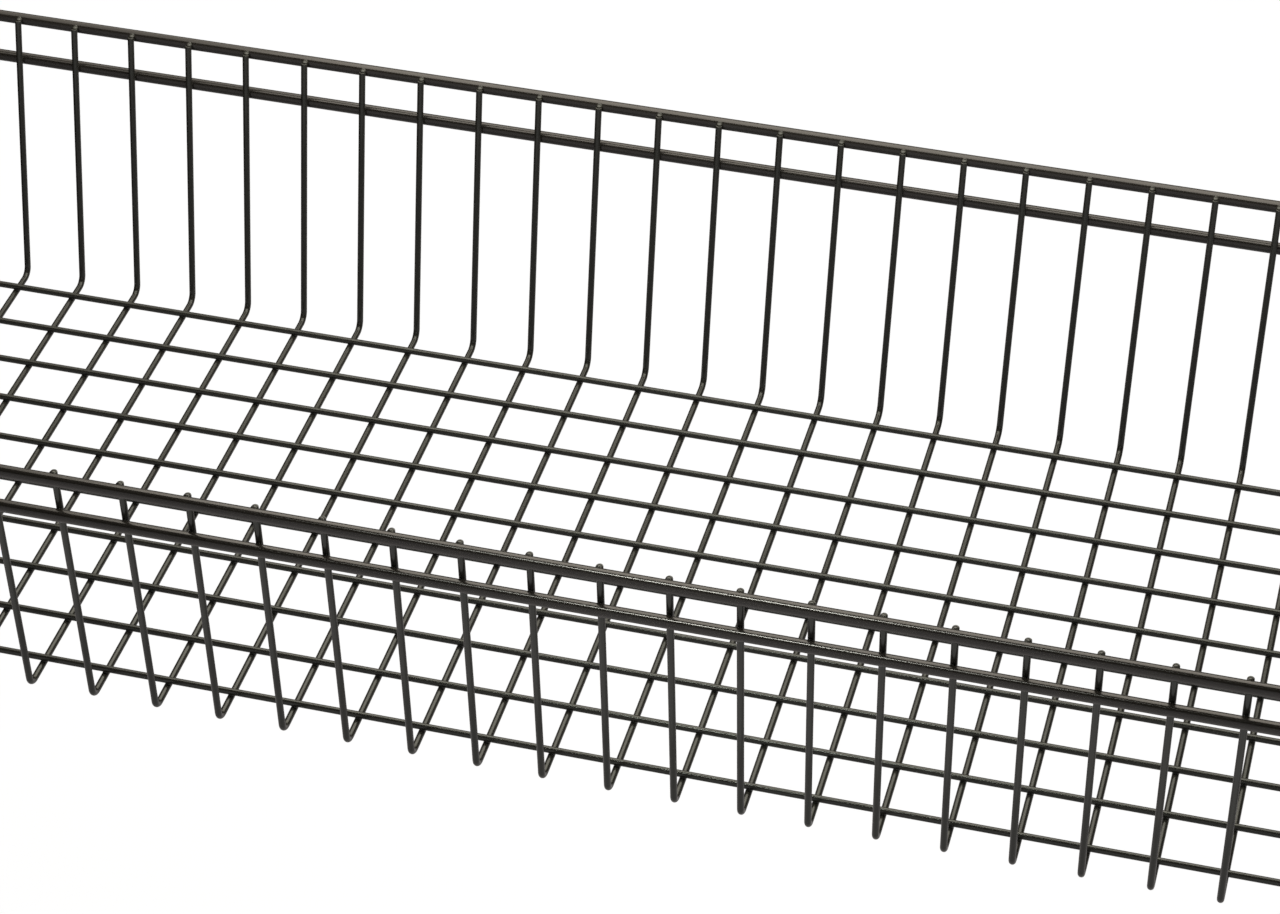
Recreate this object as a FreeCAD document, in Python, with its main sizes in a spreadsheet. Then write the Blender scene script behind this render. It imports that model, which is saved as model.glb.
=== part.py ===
import FreeCAD, Part
import math
import os
import re

import Sketcher

# A wire cable tray that hangs under a desk. Bent cross wires (U shaped, seen from
# the end) carry straight floor wires on their inside and two round rails on the
# outside of each wall. Four sheet-metal hangers hook under the lower rails.
#
# Frame: origin midway along and across the tray, at the underside of its floor.
# +X runs along the tray, -Y faces its front wall, +Z is up. Millimetres, degrees.

DIMENSIONS = {
    # mesh
    "wire_pitch": 25.0,  # centre to centre, of cross wires and of floor wires
    "u_wire_count": 39,
    "floor_wire_count": 10,
    "wire_diameter": 2.65,  # over the powder coat
    "rail_diameter": 4.8,
    "weld_sink": 0.2,  # how far two welded wires sink into each other
    "end_overhang": 12.5,  # straight wires past the last cross wire
    # cross section of the trough, along the cross wires' centreline
    "floor_width": 252.0,  # between the two corners, if they were sharp
    "wall_flare": 7.2,  # each wall leans out from the vertical
    "bend_radius": 4.5,
    "wall_length": 119.3,  # sharp corner to cut end, along the wall
    "top_rail_slant": 118.7,  # sharp corner to rail centre, along the wall
    "lower_rail_slant": 100.7,
    # softened edges of the cut ends
    "wire_end_round": 0.25,
    "rail_end_round": 0.6,
    # hangers
    "hanger_offset": 412.5,  # from mid-length, midway between two cross wires
    "hanger_height": 150.0,  # desk underside above the tray's underside
    "hanger_width": 18.0,
    "sheet_thickness": 2.0,
    "flange_length": 32.0,
    "hanger_bend": 3.5,  # centreline radius between flange and web
    "hook_clearance": 0.3,
    "lip_length": 9.0,
    "corner_round": 4.0,
    "screw_hole": 5.0,
    "screw_hole_inset": 9.0,  # outer hole to the flange's outer edge
    "screw_hole_spacing": 15.0,
}

SHEET = "Dimensions"
UPWARD = FreeCAD.Vector(0, 0, 1)
SIZE_TOLERANCE = 0.002  # largest relative error of a volume
LENGTH_TOLERANCE = 1e-4

# Formulas that several sub-parts share. A corner's tangent is the distance from
# where its two lines would meet to where its bend starts.
CORNER_TANGENT = "bend_radius * tan(45 - wall_flare / 2)"
STRAIGHT_LENGTH = "((u_wire_count - 1) * wire_pitch + 2 * end_overhang)"
RAIL_OFFSET = "((wire_diameter + rail_diameter) / 2 - weld_sink)"
HOOK_SLANT = "(lower_rail_slant + hook_clearance)"
HOOK_RADIUS = "(rail_diameter / 2 + hook_clearance + sheet_thickness / 2)"


def wall_out(slant, offset):
    """Distance from the tray's middle plane of a point beside a wall."""
    return f"(floor_width / 2 + {slant} * sin(wall_flare) + {offset} * cos(wall_flare))"


def wall_up(slant, offset):
    """Height above the tray's underside of the same point."""
    return f"(wire_diameter / 2 + {slant} * cos(wall_flare) - {offset} * sin(wall_flare))"


WEB_LENGTH = (
    f"((hanger_height - sheet_thickness / 2 - {wall_up(HOOK_SLANT, RAIL_OFFSET)}"
    f" - hanger_bend * (1 - sin(wall_flare)) + {HOOK_RADIUS} * sin(wall_flare)) / cos(wall_flare))"
)
HANGER_REACH = (
    f"(flange_length + hanger_bend * cos(wall_flare) + {WEB_LENGTH} * sin(wall_flare)"
    f" + {HOOK_RADIUS} * cos(wall_flare))"
)

doc = FreeCAD.newDocument("CableTray")
sheet = doc.addObject("Spreadsheet::Sheet", SHEET)
for row, (alias, number) in enumerate(DIMENSIONS.items(), start=1):
    sheet.set(f"A{row}", alias)
    sheet.set(f"B{row}", str(number))
    sheet.setAlias(f"B{row}", alias)
doc.recompute()

expected_volumes = {}


def size(alias):
    return float(sheet.get(alias))


def bind(item, target, formula):
    """Bind a property to a formula written with the sheet's aliases."""
    words = "|".join(sorted(DIMENSIONS, key=len, reverse=True))
    item.setExpression(target, re.sub(rf"\b({words})\b", rf"{SHEET}.\1", formula))


def evaluate(formula):
    """The number that a formula gives, for first guesses and for checks."""
    return float(sheet.evalExpression(formula))


def origin_plane(body, role):
    return next(plane for plane in body.Origin.OriginFeatures if plane.Role == role)


def new_body(label):
    body = doc.addObject("PartDesign::Body", label)
    body.Label = label
    return body


def place(body, x="0", y="0", z="0", turned=False):
    """Place a sub-part; a turned one is rotated half a turn about the vertical."""
    if turned:
        body.Placement = FreeCAD.Placement(FreeCAD.Vector(), FreeCAD.Rotation(UPWARD, 180))
    bind(body, "Placement.Base.x", x)
    bind(body, "Placement.Base.y", y)
    bind(body, "Placement.Base.z", z)


def new_sketch(body, role, name):
    sketch = body.newObject("Sketcher::SketchObject", name)
    sketch.AttachmentSupport = [(origin_plane(body, role), "")]
    sketch.MapMode = "FlatFace"
    return sketch


def add_size(sketch, name, constraint, formula):
    """Add a named dimension to a sketch and bind it."""
    index = sketch.addConstraint(constraint)
    sketch.renameConstraint(index, name)
    bind(sketch, f"Constraints.{name}", formula)


def circle_sketch(body, role, name, diameter_alias):
    """A circle centred on the body's origin."""
    sketch = new_sketch(body, role, name)
    diameter = size(diameter_alias)
    circle = Part.Circle(FreeCAD.Vector(), UPWARD, diameter / 2)
    sketch.addGeometry(circle, False)
    sketch.addConstraint(Sketcher.Constraint("Coincident", 0, 3, -1, 1))
    add_size(sketch, "diameter", Sketcher.Constraint("Diameter", 0, diameter), diameter_alias)
    return sketch


def unit_vector(heading):
    angle = math.radians(heading)
    return FreeCAD.Vector(math.cos(angle), math.sin(angle), 0)


def path_sketch(body, name, segments):
    """An open path of lines joined by tangent arcs, from the origin along the sketch's X.

    Each segment is (kind, name, formula, direction). A line's formula is its length and
    its direction is its heading. An arc's formula is its radius and its direction is the
    signed angle that it turns.
    """
    sketch = new_sketch(body, "YZ_Plane", name)
    point = FreeCAD.Vector()
    heading = 0
    for kind, _, formula, direction in segments:
        amount = evaluate(formula)
        if kind == "line":
            heading = evaluate(direction)
            end = point + unit_vector(heading) * amount
            sketch.addGeometry(Part.LineSegment(point, end), False)
        else:
            swing = evaluate(direction)
            side = math.copysign(1, swing)
            centre = point + unit_vector(heading + side * 90) * amount
            start_angle = math.radians(heading - side * 90)
            end_angle = start_angle + math.radians(swing)
            end = centre + unit_vector(math.degrees(end_angle)) * amount
            circle = Part.Circle(centre, UPWARD, amount)
            low, high = sorted((start_angle, end_angle))
            sketch.addGeometry(Part.ArcOfCircle(circle, low, high), False)
        point = end
    constrain_path(sketch, segments)
    return sketch


def constrain_path(sketch, segments):
    """Tie a path's segments end to end, tangent, and give each its size."""
    sketch.addConstraint(Sketcher.Constraint("Coincident", 0, 1, -1, 1))
    sketch.addConstraint(Sketcher.Constraint("Horizontal", 0))
    for index, (kind, label, formula, direction) in enumerate(segments):
        amount = evaluate(formula)
        if kind == "line":
            add_size(sketch, label, Sketcher.Constraint("Distance", index, amount), formula)
            if index > 0:
                heading = Sketcher.Constraint("Angle", index, math.radians(evaluate(direction)))
                add_size(sketch, f"{label}_heading", heading, direction)
            continue
        add_size(sketch, label, Sketcher.Constraint("Radius", index, amount), formula)
        # An arc's own start comes first only where the path turns left.
        first, last = (1, 2) if evaluate(direction) > 0 else (2, 1)
        sketch.addConstraint(Sketcher.Constraint("Tangent", index - 1, 2, index, first))
        sketch.addConstraint(Sketcher.Constraint("Tangent", index, last, index + 1, 1))


def pipe(body, name, profile, spine):
    feature = body.newObject("PartDesign::AdditivePipe", name)
    feature.Profile = profile
    feature.Spine = spine
    return feature


def round_edges(body, base, wanted, radius_alias):
    """Fillet the edges of a feature that pass a test."""
    doc.recompute()
    edges = [f"Edge{n}" for n, edge in enumerate(base.Shape.Edges, start=1) if wanted(edge)]
    fillet = body.newObject("PartDesign::Fillet", "SoftEdges")
    fillet.Base = (base, edges)
    bind(fillet, "Radius", radius_alias)
    return fillet


def is_end_circle(edge):
    return isinstance(edge.Curve, Part.Circle) and edge.isClosed()


def u_wire(label, index):
    """One cross wire: half of it is swept from mid-floor, and mirrored."""
    body = new_body(label)
    spine = path_sketch(
        body,
        "HalfCentreline",
        [
            ("line", "floor", f"floor_width / 2 - {CORNER_TANGENT}", "180"),
            ("arc", "bend", "bend_radius", "wall_flare - 90"),
            ("line", "wall", f"wall_length - {CORNER_TANGENT}", "90 + wall_flare"),
        ],
    )
    profile = circle_sketch(body, "XZ_Plane", "Section", "wire_diameter")
    half = pipe(body, "HalfWire", profile, spine)
    whole = body.newObject("PartDesign::Mirrored", "WholeWire")
    whole.Originals = [half]
    whole.MirrorPlane = (origin_plane(body, "XZ_Plane"), [""])
    body.Tip = whole
    above_bends = size("bend_radius")
    round_edges(
        body,
        whole,
        lambda edge: is_end_circle(edge) and edge.CenterOfMass.z > above_bends,
        "wire_end_round",
    )
    place(body, x=f"({index} - (u_wire_count - 1) / 2) * wire_pitch", z="wire_diameter / 2")
    length = evaluate(f"2 * (floor_width / 2 + wall_length - 2 * {CORNER_TANGENT})")
    length += 2 * size("bend_radius") * math.radians(90 - size("wall_flare"))
    expected_volumes[label] = length * section_area("wire_diameter")
    return body


def section_area(diameter_alias):
    return math.pi * size(diameter_alias) ** 2 / 4


def straight_bar(label, diameter_alias, round_alias, y, z):
    """A straight wire or rail along the tray, with softened ends."""
    body = new_body(label)
    section = circle_sketch(body, "YZ_Plane", "Section", diameter_alias)
    bar = body.newObject("PartDesign::Pad", "Bar")
    bar.Profile = section
    bar.SideType = "Symmetric"
    bind(bar, "Length", STRAIGHT_LENGTH)
    round_edges(body, bar, is_end_circle, round_alias)
    place(body, y=y, z=z)
    expected_volumes[label] = evaluate(STRAIGHT_LENGTH) * section_area(diameter_alias)
    return body


def hanger_profile(body):
    """The strip's rectangular section, square to the flange's outer end."""
    sketch = new_sketch(body, "XZ_Plane", "Section")
    half_width = size("hanger_width") / 2
    half_thickness = size("sheet_thickness") / 2
    corners = [
        FreeCAD.Vector(-half_width, -half_thickness, 0),
        FreeCAD.Vector(half_width, -half_thickness, 0),
        FreeCAD.Vector(half_width, half_thickness, 0),
        FreeCAD.Vector(-half_width, half_thickness, 0),
    ]
    for index, corner in enumerate(corners):
        following = (index + 1) % len(corners)
        sketch.addGeometry(Part.LineSegment(corner, corners[following]), False)
    for index in range(len(corners)):
        following = (index + 1) % len(corners)
        sketch.addConstraint(Sketcher.Constraint("Coincident", index, 2, following, 1))
    for index, direction in enumerate(("Horizontal", "Vertical", "Horizontal", "Vertical")):
        sketch.addConstraint(Sketcher.Constraint(direction, index))
    sketch.addConstraint(Sketcher.Constraint("Symmetric", 0, 1, 1, 2, -1, 1))
    width = Sketcher.Constraint("Distance", 0, 2 * half_width)
    thickness = Sketcher.Constraint("Distance", 1, 2 * half_thickness)
    add_size(sketch, "width", width, "hanger_width")
    add_size(sketch, "thickness", thickness, "sheet_thickness")
    return sketch


def hanger_holes(body):
    """Two screw holes in line across the flange."""
    sketch = new_sketch(body, "XY_Plane", "ScrewHoles")
    for index, formula in enumerate(("screw_hole_inset", "screw_hole_inset + screw_hole_spacing")):
        along = evaluate(formula)
        centre = FreeCAD.Vector(0, along, 0)
        sketch.addGeometry(Part.Circle(centre, UPWARD, size("screw_hole") / 2), False)
        sketch.addConstraint(Sketcher.Constraint("PointOnObject", index, 3, -2))
        distance = Sketcher.Constraint("DistanceY", -1, 1, index, 3, along)
        add_size(sketch, f"along_{index}", distance, formula)
        diameter = Sketcher.Constraint("Diameter", index, size("screw_hole"))
        add_size(sketch, f"hole_{index}", diameter, "screw_hole")
    holes = body.newObject("PartDesign::Pocket", "Holes")
    holes.Profile = sketch
    holes.SideType = "Symmetric"
    bind(holes, "Length", "2 * sheet_thickness")
    return holes


def hanger(label, side, turned):
    """A strip bent into a screw flange, a web beside both rails and a hook."""
    body = new_body(label)
    spine = path_sketch(
        body,
        "Centreline",
        [
            ("line", "flange", "flange_length", "0"),
            ("arc", "shoulder", "hanger_bend", "wall_flare - 90"),
            ("line", "web", WEB_LENGTH, "wall_flare - 90"),
            ("arc", "hook", HOOK_RADIUS, "180"),
            ("line", "lip", "lip_length", "wall_flare + 90"),
        ],
    )
    strip = pipe(body, "Strip", hanger_profile(body), spine)
    thickness = size("sheet_thickness")
    rounded = round_edges(
        body, strip, lambda edge: abs(edge.Length - thickness) < LENGTH_TOLERANCE, "corner_round"
    )
    doc.recompute()
    solid_volume = rounded.Shape.Volume
    holes = hanger_holes(body)
    body.Tip = holes
    out = f"({wall_out(HOOK_SLANT, RAIL_OFFSET)} + {HANGER_REACH})"
    place(
        body,
        x=f"{side} * hanger_offset",
        y=out if turned else f"-{out}",
        z="hanger_height - sheet_thickness / 2",
        turned=turned,
    )
    expected_volumes[label] = solid_volume - 2 * section_area("screw_hole") * thickness
    return body


def all_bodies():
    bodies = []
    for index in range(int(size("u_wire_count"))):
        bodies.append(u_wire(f"u_wire_{index + 1:02d}", index))
    for index in range(int(size("floor_wire_count"))):
        bodies.append(
            straight_bar(
                f"floor_wire_{index + 1:02d}",
                "wire_diameter",
                "wire_end_round",
                y=f"({index} - (floor_wire_count - 1) / 2) * wire_pitch",
                z="1.5 * wire_diameter - weld_sink",
            )
        )
    for wall, sign in (("front", "-"), ("back", "")):
        for level in ("top", "lower"):
            slant = f"{level}_rail_slant"
            bodies.append(
                straight_bar(
                    f"{wall}_{level}_rail",
                    "rail_diameter",
                    "rail_end_round",
                    y=sign + wall_out(slant, RAIL_OFFSET),
                    z=wall_up(slant, RAIL_OFFSET),
                )
            )
        for end, side in (("left", -1), ("right", 1)):
            bodies.append(hanger(f"hanger_{wall}_{end}", side, turned=wall == "back"))
    return bodies


def check(bodies):
    """Stop if any object failed or any solid isn't the size that it should be."""
    for item in doc.Objects:
        if {"Invalid", "Error"} & set(item.State):
            raise RuntimeError(f"{item.Label} failed: {item.State}")
    for body in bodies:
        shape = body.Shape
        if shape.isNull() or not shape.isValid() or len(shape.Solids) != 1:
            raise RuntimeError(f"{body.Label} isn't one valid solid")
        wanted = expected_volumes[body.Label]
        if abs(shape.Volume - wanted) > SIZE_TOLERANCE * wanted:
            raise RuntimeError(f"{body.Label} holds {shape.Volume:.1f}, not {wanted:.1f}")


sub_parts = all_bodies()
doc.recompute()
check(sub_parts)
os.makedirs("parts", exist_ok=True)
for sub_part in sub_parts:
    sub_part.Shape.exportStep(os.path.join("parts", f"{sub_part.Label}.step"))
    print(sub_part.Label, round(sub_part.Shape.Volume, 1))
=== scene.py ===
import math
import random

import bmesh
import bpy
from mathutils import Matrix, Vector


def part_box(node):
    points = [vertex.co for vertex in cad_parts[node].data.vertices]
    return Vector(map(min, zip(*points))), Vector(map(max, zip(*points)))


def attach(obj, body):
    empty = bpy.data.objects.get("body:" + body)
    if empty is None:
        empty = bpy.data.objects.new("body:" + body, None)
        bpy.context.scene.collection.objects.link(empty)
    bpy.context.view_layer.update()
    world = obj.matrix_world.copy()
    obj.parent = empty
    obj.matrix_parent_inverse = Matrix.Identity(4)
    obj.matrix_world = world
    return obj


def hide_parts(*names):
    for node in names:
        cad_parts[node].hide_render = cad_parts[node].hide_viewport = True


# The looks of a wire cable tray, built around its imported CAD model.
# Every length is in metres. +X runs along the tray, -Y faces its front wall, +Z is up.

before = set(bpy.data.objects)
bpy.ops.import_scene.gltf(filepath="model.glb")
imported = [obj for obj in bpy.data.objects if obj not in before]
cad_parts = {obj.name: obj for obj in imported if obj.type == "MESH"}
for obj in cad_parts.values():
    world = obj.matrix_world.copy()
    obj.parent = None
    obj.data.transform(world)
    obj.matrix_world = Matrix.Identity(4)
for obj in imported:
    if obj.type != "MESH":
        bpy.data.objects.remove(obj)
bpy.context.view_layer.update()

MM = 0.001
ALONG = Vector((1, 0, 0))
ACROSS = Vector((0, 1, 0))
UP = Vector((0, 0, 1))
WHITE = (1, 1, 1, 1)

# Shapes that the CAD boxes don't give.
WALL_FLARE = math.radians(7.2)
BEND_RADIUS = 4.5 * MM
WIRE_END_ROUND = 0.25 * MM
RAIL_END_ROUND = 0.6 * MM
WELD_SINK = 0.2 * MM

# The coat heaps up to a bead where a wire's cut end meets a top rail: how far towards the
# rail it lies, and its radii along the tray, towards the rail and along the wire.
BEAD_OFFSET = 1.1 * MM
BEAD_RADII = Vector((1.4, 1.7, 0.85)) * MM

# How finely round things and straight stretches are divided. A face with more corners
# than MOST_SMOOTH_CORNERS is a bar's flat end or a collar's hidden rim.
WIRE_SIDES = 20
RAIL_SIDES = 32
BEND_STEPS = 12
END_STEPS = 4
BEAD_SIDES = 16
STRAIGHT_STEPS = 3
MOST_SMOOTH_CORNERS = 4

# A weld's collar: how wide a gap the coat fills, how finely it is divided, and how far
# its hidden rims go into the two bars and in towards the weld.
WIRE_COLLAR_GAP = 0.45 * MM
RAIL_COLLAR_GAP = 0.6 * MM
COLLAR_COLUMNS = 16
COLLAR_STEPS = 4
COLLAR_BURIED = 0.15 * MM
COLLAR_SHRINK = 0.85

# The search for a collar's reach: how near to a bar's side it may come, the smallest
# sine it divides by, and how often it halves the range.
NEAREST_TO_SIDE = 0.999
LEAST_SINE = 1e-6
HALVINGS = 40

# A welded mesh is never quite even: how far a wire's cut end may lean along the tray.
LEAN = 0.2 * MM
SEED = 7

# A hanger's softened edges. Corners closer than HANGER_SAME are one corner, faces that
# meet below HANGER_FLAT are one face, and edges above HANGER_SHARP are softened.
HANGER_SAME = 0.001 * MM
HANGER_FLAT = math.radians(1)
HANGER_SHARP = math.radians(40)
HANGER_EDGE = 0.35 * MM
HANGER_EDGE_STEPS = 3
HANGER_EDGE_PROFILE = 0.5  # a round edge
HANGER_SMOOTH_BELOW = math.radians(35)

# The camera, placed around the point on the tray's floor that it looks at.
CAMERA_AZIMUTH = math.radians(13.81)
CAMERA_ELEVATION = math.radians(37.74)
CAMERA_ROLL = math.radians(0.932)
CAMERA_DISTANCE = 1.5923
CAMERA_TARGET = Vector((0.0114, 0.0723, 0.0))
CAMERA_LENS_MM = 109.95
SENSOR_MM = 36.0
CLIP_START = 0.01

# The studio floor: how far it lies below the tray, its width and its pale surface.
FLOOR_DROP = 0.25
FLOOR_SIZE = 60.0
FLOOR_COLOR = (0.05, 0.05, 0.05, 1)
FLOOR_ROUGHNESS = 0.9
FLOOR_GLOW = 0.97
SURROUND_GLOW = 1.0

# The powder coat: its darkest and lightest tones, the tint of its sheen, and how smooth
# and how rough it gets. The hangers' sheet has the rails' tones and the wires' roughness.
WIRE_TONES = (0.0216, 0.0216, 0.0188), (0.0295, 0.0295, 0.0257)
RAIL_TONES = (0.0190, 0.0176, 0.0155), (0.0260, 0.0242, 0.0215)
WIRE_SHEEN = (0.93, 1.0, 0.97)
RAIL_SHEEN = (1.0, 1.0, 1.0)
WIRE_ROUGHNESS = (0.18, 0.23)
RAIL_ROUGHNESS = (0.17, 0.20)
COAT_SPECULAR = 0.5

# Its texture: how large the blobs of orange peel, grain and drift in tone are, and how
# many finer layers they hold.
PEEL_SIZE, PEEL_DETAIL = 2.5 * MM, 2.0
GRAIN_SIZE, GRAIN_DETAIL = 0.35 * MM, 2.0
DRIFT_SIZE, DRIFT_DETAIL = 30 * MM, 3.0

# The stretch of the peel's noise over which the coat goes from smooth to rough, the
# peel's depth on round bars and on sheet, and the grain's share of that depth.
PEEL_RANGE = (0.3, 0.7)
ROUND_PEEL = 0.0015 * MM
SHEET_PEEL = 0.02 * MM
GRAIN_SHARE = 1 / 8
BUMP_STRENGTH = 1.0

# The lights: name, centre, the point it faces, width along the tray, depth, radiance
# (1 looks white), colour and spread in degrees.
WARM = (1.0, 0.92, 0.80)
PALE = (1.0, 1.0, 0.90)
NEUTRAL = (1.0, 0.94, 0.92)
ALL_ROUND = 180
LIGHTS = (
    ("wide_softbox", (-0.05, 0.656, 0.578), (-0.05, 0.656, 0), 1.25, 1.39, 1.6, WARM, ALL_ROUND),
    ("inner_softbox", (-0.01, 0.267, 0.583), (-0.01, 0.267, 0), 0.62, 0.61, 2.2, WARM, ALL_ROUND),
    ("front_strip", (0.002, -0.297, 0.680), (0.095, -0.191, 0.11), 0.14, 0.07, 54, PALE, 24),
    ("front_strip_edges", (0.002, -0.297, 0.681), (0.095, -0.191, 0.11), 0.36, 0.07, 12, PALE, 56),
    ("front_floor", (-0.2, -1.105, -0.005), (-0.2, -1.105, 1), 4.0, 1.89, 0.28, NEUTRAL, ALL_ROUND),
    ("under_floor", (0.6, -0.1, -0.24), (0.6, -0.1, 1), 2.6, 2.7, 0.42, NEUTRAL, ALL_ROUND),
    ("low_wall", (0.5, -2.0, 0.18), (0.5, 0, 0.18), 3.2, 0.84, 0.56, NEUTRAL, ALL_ROUND),
    ("high_wall", (0.5, -2.0, 0.98), (0.5, 0, 0.98), 3.2, 0.76, 0.48, NEUTRAL, ALL_ROUND),
)


# Sizes read from the CAD frame

def size_of(node):
    low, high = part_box(node)
    return high - low


def centre_of(node):
    low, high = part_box(node)
    return (low + high) / 2


def nodes_named(start):
    return sorted(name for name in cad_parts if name.startswith(start))


U_WIRES = nodes_named("u_wire_")
FLOOR_WIRES = nodes_named("floor_wire_")
RAILS = [name for name in sorted(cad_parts) if name.endswith("_rail")]
HANGERS = nodes_named("hanger_")

WIRE_RADIUS = size_of(FLOOR_WIRES[0]).z / 2
RAIL_RADIUS = size_of(RAILS[0]).z / 2


def wall_shape():
    """(half the floor's width, wall length) of a cross wire's sharp-cornered centreline.

    The wire's highest and outermost points lie on the rounding of its cut end.
    """
    low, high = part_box(U_WIRES[0])
    rim = WIRE_RADIUS - WIRE_END_ROUND
    up = high.z - WIRE_RADIUS - rim * math.sin(WALL_FLARE) - WIRE_END_ROUND
    length = up / math.cos(WALL_FLARE) + WIRE_END_ROUND
    out = (length - WIRE_END_ROUND) * math.sin(WALL_FLARE) + rim * math.cos(WALL_FLARE)
    return high.y - out - WIRE_END_ROUND, length


FLOOR_HALF, WALL_LENGTH = wall_shape()
CORNER_TANGENT = BEND_RADIUS * math.tan((math.pi / 2 - WALL_FLARE) / 2)


# Geometry

def wall_point(slant, x, lean, side):
    """A point of a cross wire's centreline on the wall, that far up from the sharp corner."""
    return Vector((
        x + lean * slant / WALL_LENGTH,
        side * (FLOOR_HALF + slant * math.sin(WALL_FLARE)),
        WIRE_RADIUS + slant * math.cos(WALL_FLARE),
    ))


def half_path(x, lean, side):
    """Centreline from mid-floor to a cut end: a line, an arc and a line."""
    start = FLOOR_HALF - CORNER_TANGENT
    points = [Vector((x, side * start * i / STRAIGHT_STEPS, WIRE_RADIUS)) for i in range(STRAIGHT_STEPS)]
    turn = math.pi / 2 - WALL_FLARE
    for i in range(BEND_STEPS + 1):
        angle = turn * i / BEND_STEPS
        along = start + BEND_RADIUS * math.sin(angle)
        up = WIRE_RADIUS + BEND_RADIUS * (1 - math.cos(angle))
        points.append(Vector((x, side * along, up)))
    for i in range(1, STRAIGHT_STEPS + 1):
        slant = CORNER_TANGENT + (WALL_LENGTH - CORNER_TANGENT) * i / STRAIGHT_STEPS
        points.append(wall_point(slant, x, lean, side))
    return points


def u_path(x, lean_front, lean_back):
    front = half_path(x, lean_front, -1)
    back = half_path(x, lean_back, 1)
    return front[:0:-1] + back


def end_profile(radius, rounding):
    """(distance from the cut end, radius) of the rings that soften it, from the face inwards."""
    rings = []
    for i in range(END_STEPS + 1):
        angle = math.pi / 2 * i / END_STEPS
        inset = rounding * (1 - math.sin(angle))
        rings.append((inset, radius - rounding * (1 - math.cos(angle))))
    return rings[::-1]


def tube(name, path, radius, sides, ends):
    """A round bar along a path. Its ends are rings of (distance from the end, radius)."""
    mesh = bmesh.new()
    first = (path[0] - path[1]).normalized()
    last = (path[-1] - path[-2]).normalized()
    stations = [(path[0] - first * inset, rim, -first) for inset, rim in ends]
    for before, here, after in zip(path, path[1:], path[2:]):
        tangent = ((here - before).normalized() + (after - here).normalized()).normalized()
        stations.append((here, radius, tangent))
    stations += [(path[-1] - last * inset, rim, last) for inset, rim in ends[::-1]]
    side_axis = ALONG
    if abs(first.x) > abs(first.y):
        side_axis = ACROSS
    rings = []
    for centre, rim, tangent in stations:
        across = (side_axis - tangent * side_axis.dot(tangent)).normalized()
        up = tangent.cross(across)
        ring = []
        for i in range(sides):
            angle = 2 * math.pi * i / sides
            ring.append(mesh.verts.new(centre + across * rim * math.cos(angle) + up * rim * math.sin(angle)))
        rings.append(ring)
    for ring, following in zip(rings, rings[1:]):
        for i in range(sides):
            j = (i + 1) % sides
            mesh.faces.new((ring[i], ring[j], following[j], following[i]))
    mesh.faces.new(rings[0][::-1])
    mesh.faces.new(rings[-1])
    return finished(name, mesh)


def finished(name, mesh):
    """Turn a bmesh into an object that is smooth but for its flat ends, which have many corners."""
    for face in mesh.faces:
        face.smooth = len(face.verts) <= MOST_SMOOTH_CORNERS
    return linked(name, mesh)


def linked(name, mesh):
    """Turn a bmesh into an object of the scene."""
    bmesh.ops.recalc_face_normals(mesh, faces=mesh.faces)
    data = bpy.data.meshes.new(name)
    mesh.to_mesh(data)
    mesh.free()
    piece = bpy.data.objects.new(name, data)
    bpy.context.scene.collection.objects.link(piece)
    return piece


def meniscus(theta, first, second, gap):
    """Where the coat ends on two crossing bars in one direction from their weld.

    first and second are (radius, distance from the weld to the axis). Returns the
    reach, the two heights and the Bezier point between them.
    """
    (low_radius, low_depth), (high_radius, high_depth) = first, second
    low_share, high_share = abs(math.sin(theta)), abs(math.cos(theta))

    def heights(reach):
        low = -low_depth + math.sqrt(low_radius * low_radius - (reach * low_share) ** 2)
        high = high_depth - math.sqrt(high_radius * high_radius - (reach * high_share) ** 2)
        return low, high

    near = 0.0
    far = NEAREST_TO_SIDE * min(
        low_radius / max(low_share, LEAST_SINE),
        high_radius / max(high_share, LEAST_SINE),
    )
    for _ in range(HALVINGS):
        middle = (near + far) / 2
        low, high = heights(middle)
        if high - low > gap:
            far = middle
        else:
            near = middle
    reach = (near + far) / 2
    low, high = heights(reach)
    slope_low = -reach * low_share * low_share / (low + low_depth)
    slope_high = reach * high_share * high_share / (high_depth - high)
    pull = (high - low) / (slope_high - slope_low)
    return reach, low, high, (reach - pull, low - slope_low * pull)


def add_collar(mesh, at, normal, axis, first, second, gap):
    """The skin of metal and coat around one weld, from one bar's surface to the other's."""
    across = normal.cross(axis)
    columns = []
    for i in range(COLLAR_COLUMNS):
        theta = 2 * math.pi * i / COLLAR_COLUMNS
        out = axis * math.cos(theta) + across * math.sin(theta)
        reach, low, high, (waist, level) = meniscus(theta, first, second, gap)
        outline = [(reach * COLLAR_SHRINK, low - COLLAR_BURIED)]
        for step in range(COLLAR_STEPS + 1):
            t = step / COLLAR_STEPS
            ease = (1 - t) ** 2, 2 * t * (1 - t), t * t
            distance = ease[0] * reach + ease[1] * waist + ease[2] * reach
            height = ease[0] * low + ease[1] * level + ease[2] * high
            outline.append((distance, height))
        outline.append((reach * COLLAR_SHRINK, high + COLLAR_BURIED))
        columns.append([mesh.verts.new(at + out * d + normal * h) for d, h in outline])
    for i, column in enumerate(columns):
        following = columns[(i + 1) % COLLAR_COLUMNS]
        for j in range(len(column) - 1):
            mesh.faces.new((column[j], following[j], following[j + 1], column[j + 1]))
    mesh.faces.new([column[0] for column in columns][::-1])
    mesh.faces.new([column[-1] for column in columns])


def add_bead(mesh, wire_end, normal, axis):
    """The coat that heaps up between a wire's cut end and the rail beside it."""
    centre = wire_end + normal * BEAD_OFFSET
    turned = Matrix((normal.cross(axis), normal, axis)).transposed().to_4x4()
    placed = Matrix.Translation(centre) @ turned @ Matrix.Diagonal((*BEAD_RADII, 1))
    bmesh.ops.create_uvsphere(
        mesh, u_segments=BEAD_SIDES, v_segments=BEAD_SIDES // 2, radius=1, matrix=placed,
    )


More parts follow.
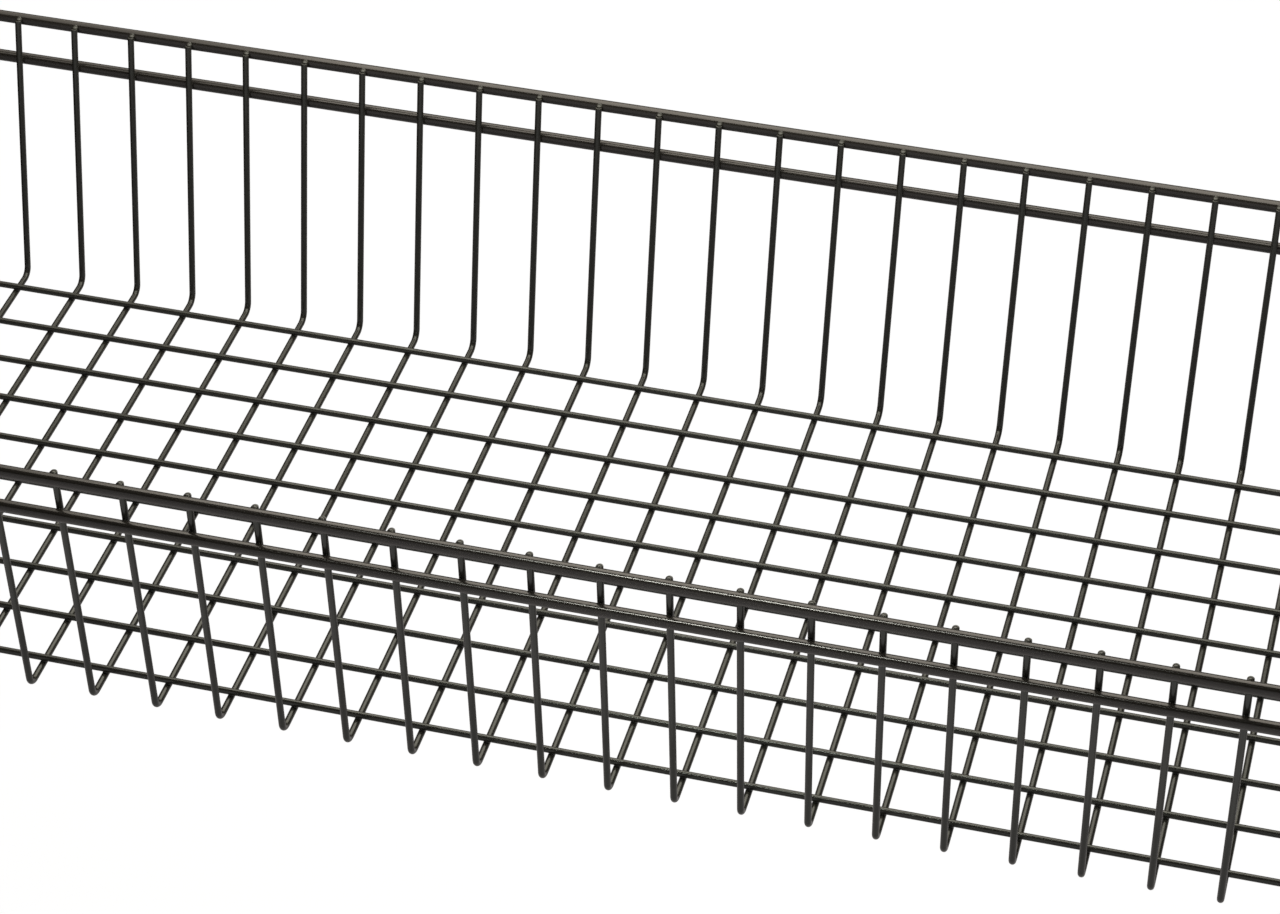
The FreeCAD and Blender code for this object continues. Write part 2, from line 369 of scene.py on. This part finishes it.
def weld_collars(name, x, leans):
    """All the welds of one cross wire and the beads at its cut ends, as one piece."""
    mesh = bmesh.new()
    wire = (WIRE_RADIUS, WIRE_RADIUS - WELD_SINK / 2)
    rail = (RAIL_RADIUS, RAIL_RADIUS - WELD_SINK / 2)
    for node in FLOOR_WIRES:
        at = Vector((x, centre_of(node).y, WIRE_RADIUS + wire[1]))
        add_collar(mesh, at, UP, ACROSS, wire, wire, WIRE_COLLAR_GAP)
    for node in RAILS:
        centre = centre_of(node)
        side = math.copysign(1, centre.y)
        normal = Vector((0, side * math.cos(WALL_FLARE), -math.sin(WALL_FLARE)))
        axis = Vector((0, side * math.sin(WALL_FLARE), math.cos(WALL_FLARE)))
        slant = Vector((0, centre.y - side * FLOOR_HALF, centre.z - WIRE_RADIUS)).dot(axis)
        at = wall_point(slant, x, leans[side], side) + normal * wire[1]
        add_collar(mesh, at, normal, axis, wire, rail, RAIL_COLLAR_GAP)
        if "top" in node:
            add_bead(mesh, wall_point(WALL_LENGTH, x, leans[side], side), normal, axis)
    return finished(name, mesh)


def straight_bar(name, node, radius, sides, ends):
    """A straight wire or rail along the tray, with as many stretches as there are cross wires."""
    low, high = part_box(node)
    centre = (low + high) / 2
    steps = len(U_WIRES)
    path = []
    for i in range(steps + 1):
        path.append(Vector((low.x + (high.x - low.x) * i / steps, centre.y, centre.z)))
    return tube(name, path, radius, sides, ends)


def keep_flats_flat(data):
    """Smooth normals weighted by area, so that a rounded edge doesn't shade the flat beside it."""
    around = [[] for _ in data.vertices]
    for face in data.polygons:
        for index in face.vertices:
            around[index].append((face.normal.copy(), face.area))
    least_alike = math.cos(HANGER_SMOOTH_BELOW)
    corners = []
    for face in data.polygons:
        for index in face.vertices:
            total = Vector()
            for normal, area in around[index]:
                if normal.dot(face.normal) > least_alike:
                    total += normal * area
            corners.append(total.normalized())
    data.normals_split_custom_set(corners)


def softened_copy(name, node):
    """A CAD sheet-metal piece with its sharp edges rounded."""
    mesh = bmesh.new()
    mesh.from_mesh(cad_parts[node].data)
    bmesh.ops.remove_doubles(mesh, verts=mesh.verts, dist=HANGER_SAME)
    bmesh.ops.dissolve_limit(mesh, angle_limit=HANGER_FLAT, verts=mesh.verts, edges=mesh.edges)
    sharp = [edge for edge in mesh.edges if edge.calc_face_angle(0) > HANGER_SHARP]
    bmesh.ops.bevel(
        mesh, geom=sharp, offset=HANGER_EDGE, offset_type="OFFSET", segments=HANGER_EDGE_STEPS,
        profile=HANGER_EDGE_PROFILE, affect="EDGES", clamp_overlap=True, harden_normals=False,
    )
    for face in mesh.faces:
        face.smooth = True
    piece = linked(name, mesh)
    keep_flats_flat(piece.data)
    return piece


# Materials

def noise(nodes, links, coordinates, feature, detail):
    """A noise texture whose blobs are about feature metres across."""
    texture = nodes.new("ShaderNodeTexNoise")
    texture.inputs["Scale"].default_value = 1 / feature
    texture.inputs["Detail"].default_value = detail
    links.new(coordinates, texture.inputs["Vector"])
    return texture.outputs["Fac"]


def powder_coat(name, peel_depth, tones, sheen, roughness):
    """Satin black powder coat: orange peel, a fine grain and a slow drift in tone."""
    material = bpy.data.materials.new(name)
    material.use_nodes = True
    nodes, links = material.node_tree.nodes, material.node_tree.links
    shader = nodes["Principled BSDF"]
    place = nodes.new("ShaderNodeTexCoord").outputs["Object"]
    peel = noise(nodes, links, place, PEEL_SIZE, PEEL_DETAIL)
    grain = noise(nodes, links, place, GRAIN_SIZE, GRAIN_DETAIL)
    drift = noise(nodes, links, place, DRIFT_SIZE, DRIFT_DETAIL)

    tone = nodes.new("ShaderNodeMix")
    tone.data_type = "RGBA"
    tone.inputs["A"].default_value = (*tones[0], 1)
    tone.inputs["B"].default_value = (*tones[1], 1)
    links.new(drift, tone.inputs["Factor"])
    links.new(tone.outputs["Result"], shader.inputs["Base Color"])

    gloss = nodes.new("ShaderNodeMapRange")
    gloss.inputs["From Min"].default_value = PEEL_RANGE[0]
    gloss.inputs["From Max"].default_value = PEEL_RANGE[1]
    gloss.inputs["To Min"].default_value = roughness[0]
    gloss.inputs["To Max"].default_value = roughness[1]
    links.new(peel, gloss.inputs["Value"])
    links.new(gloss.outputs["Result"], shader.inputs["Roughness"])

    bumps = None
    for height, depth in ((peel, peel_depth), (grain, peel_depth * GRAIN_SHARE)):
        bump = nodes.new("ShaderNodeBump")
        bump.inputs["Strength"].default_value = BUMP_STRENGTH
        bump.inputs["Distance"].default_value = depth
        links.new(height, bump.inputs["Height"])
        if bumps is not None:
            links.new(bumps, bump.inputs["Normal"])
        bumps = bump.outputs["Normal"]
    links.new(bumps, shader.inputs["Normal"])
    shader.inputs["Specular IOR Level"].default_value = COAT_SPECULAR
    shader.inputs["Specular Tint"].default_value = (*sheen, 1)
    return material


def pale(name, glow):
    """A plain pale surface that glows, so that it looks the same all over."""
    material = bpy.data.materials.new(name)
    material.use_nodes = True
    shader = material.node_tree.nodes["Principled BSDF"]
    shader.inputs["Base Color"].default_value = FLOOR_COLOR
    shader.inputs["Roughness"].default_value = FLOOR_ROUGHNESS
    shader.inputs["Specular IOR Level"].default_value = 0.0
    shader.inputs["Emission Color"].default_value = WHITE
    shader.inputs["Emission Strength"].default_value = glow
    return material


def wear(piece, material):
    """Give a piece its material and its place in the record."""
    piece.data.materials.clear()
    piece.data.materials.append(material)
    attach(piece, "root")


# The tray

wire_coat = powder_coat("wire_coat", ROUND_PEEL, WIRE_TONES, WIRE_SHEEN, WIRE_ROUGHNESS)
rail_coat = powder_coat("rail_coat", ROUND_PEEL, RAIL_TONES, RAIL_SHEEN, RAIL_ROUGHNESS)
sheet_coat = powder_coat("sheet_coat", SHEET_PEEL, RAIL_TONES, RAIL_SHEEN, WIRE_ROUGHNESS)

cut_wire = end_profile(WIRE_RADIUS, WIRE_END_ROUND)
cut_rail = end_profile(RAIL_RADIUS, RAIL_END_ROUND)
dice = random.Random(SEED)
for number, node in enumerate(U_WIRES, start=1):
    x = centre_of(node).x
    leans = {-1: dice.uniform(-LEAN, LEAN), 1: dice.uniform(-LEAN, LEAN)}
    path = u_path(x, leans[-1], leans[1])
    wire = tube(f"cross_wire_{number:02d}", path, WIRE_RADIUS, WIRE_SIDES, cut_wire)
    wear(wire, wire_coat)
    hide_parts(node)
    welds = weld_collars(f"welds_{number:02d}", x, leans)
    wear(welds, wire_coat)

for number, node in enumerate(FLOOR_WIRES, start=1):
    wire = straight_bar(f"long_wire_{number:02d}", node, WIRE_RADIUS, WIRE_SIDES, cut_wire)
    wear(wire, wire_coat)
    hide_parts(node)

for node in RAILS:
    rail = straight_bar(f"{node}_rod", node, RAIL_RADIUS, RAIL_SIDES, cut_rail)
    wear(rail, rail_coat)
    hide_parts(node)

for node in HANGERS:
    strip = softened_copy(f"{node}_strip", node)
    wear(strip, sheet_coat)
    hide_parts(node)


# The studio

def add_light(name, place, aim, width, depth, radiance, color, spread_degrees):
    """A rectangular light, as bright as its radiance says when it is seen face on.

    Its width lies along the tray. A narrow spread would brighten it, so its power is cut to match.
    """
    data = bpy.data.lights.new(name, "AREA")
    data.shape = "RECTANGLE"
    data.size = width
    data.size_y = depth
    data.energy = radiance * math.pi * width * depth
    data.spread = math.radians(spread_degrees)
    if spread_degrees < ALL_ROUND:
        half = math.radians(spread_degrees) / 2
        data.energy *= (math.tan(half) - half) / math.tan(half)
    data.color = color
    light = bpy.data.objects.new(name, data)
    toward = (Vector(aim) - Vector(place)).normalized()
    along = (ALONG - toward * toward.x).normalized()
    rotation = Matrix((along, along.cross(toward), -toward)).transposed().to_4x4()
    light.matrix_world = Matrix.Translation(place) @ rotation
    light.visible_camera = False
    bpy.context.scene.collection.objects.link(light)


def add_floor():
    """The floor under the tray, which only the camera sees."""
    mesh = bmesh.new()
    bmesh.ops.create_grid(mesh, x_segments=1, y_segments=1, size=FLOOR_SIZE / 2)
    floor = finished("studio_floor", mesh)
    floor.location = (0, 0, -FLOOR_DROP)
    floor.data.materials.append(pale("pale_floor", FLOOR_GLOW))
    floor.visible_diffuse = False
    floor.visible_glossy = False
    floor.visible_shadow = False


def add_surroundings():
    """Plain white beyond the floor, which only the camera sees."""
    world = bpy.data.worlds.new("pale_surroundings")
    bpy.context.scene.world = world
    world.use_nodes = True
    world.node_tree.nodes["Background"].inputs["Color"].default_value = WHITE
    world.node_tree.nodes["Background"].inputs["Strength"].default_value = SURROUND_GLOW
    world.cycles_visibility.diffuse = False
    world.cycles_visibility.glossy = False


def add_camera():
    """A camera at an azimuth and elevation from its target, rolled a little."""
    back = Vector((
        math.sin(CAMERA_AZIMUTH) * math.cos(CAMERA_ELEVATION),
        -math.cos(CAMERA_AZIMUTH) * math.cos(CAMERA_ELEVATION),
        math.sin(CAMERA_ELEVATION),
    ))
    right = UP.cross(back).normalized()
    up = back.cross(right)
    turned_right = right * math.cos(CAMERA_ROLL) + up * math.sin(CAMERA_ROLL)
    turned_up = up * math.cos(CAMERA_ROLL) - right * math.sin(CAMERA_ROLL)
    data = bpy.data.cameras.new("camera")
    data.sensor_width = SENSOR_MM
    data.lens = CAMERA_LENS_MM
    data.clip_start = CLIP_START
    camera = bpy.data.objects.new("camera", data)
    rotation = Matrix((turned_right, turned_up, back)).transposed().to_4x4()
    camera.matrix_world = Matrix.Translation(CAMERA_TARGET + back * CAMERA_DISTANCE) @ rotation
    bpy.context.scene.collection.objects.link(camera)
    bpy.context.scene.camera = camera


for light in LIGHTS:
    add_light(*light)
add_floor()
add_surroundings()
add_camera()
bpy.context.scene.view_settings.view_transform = "Standard"
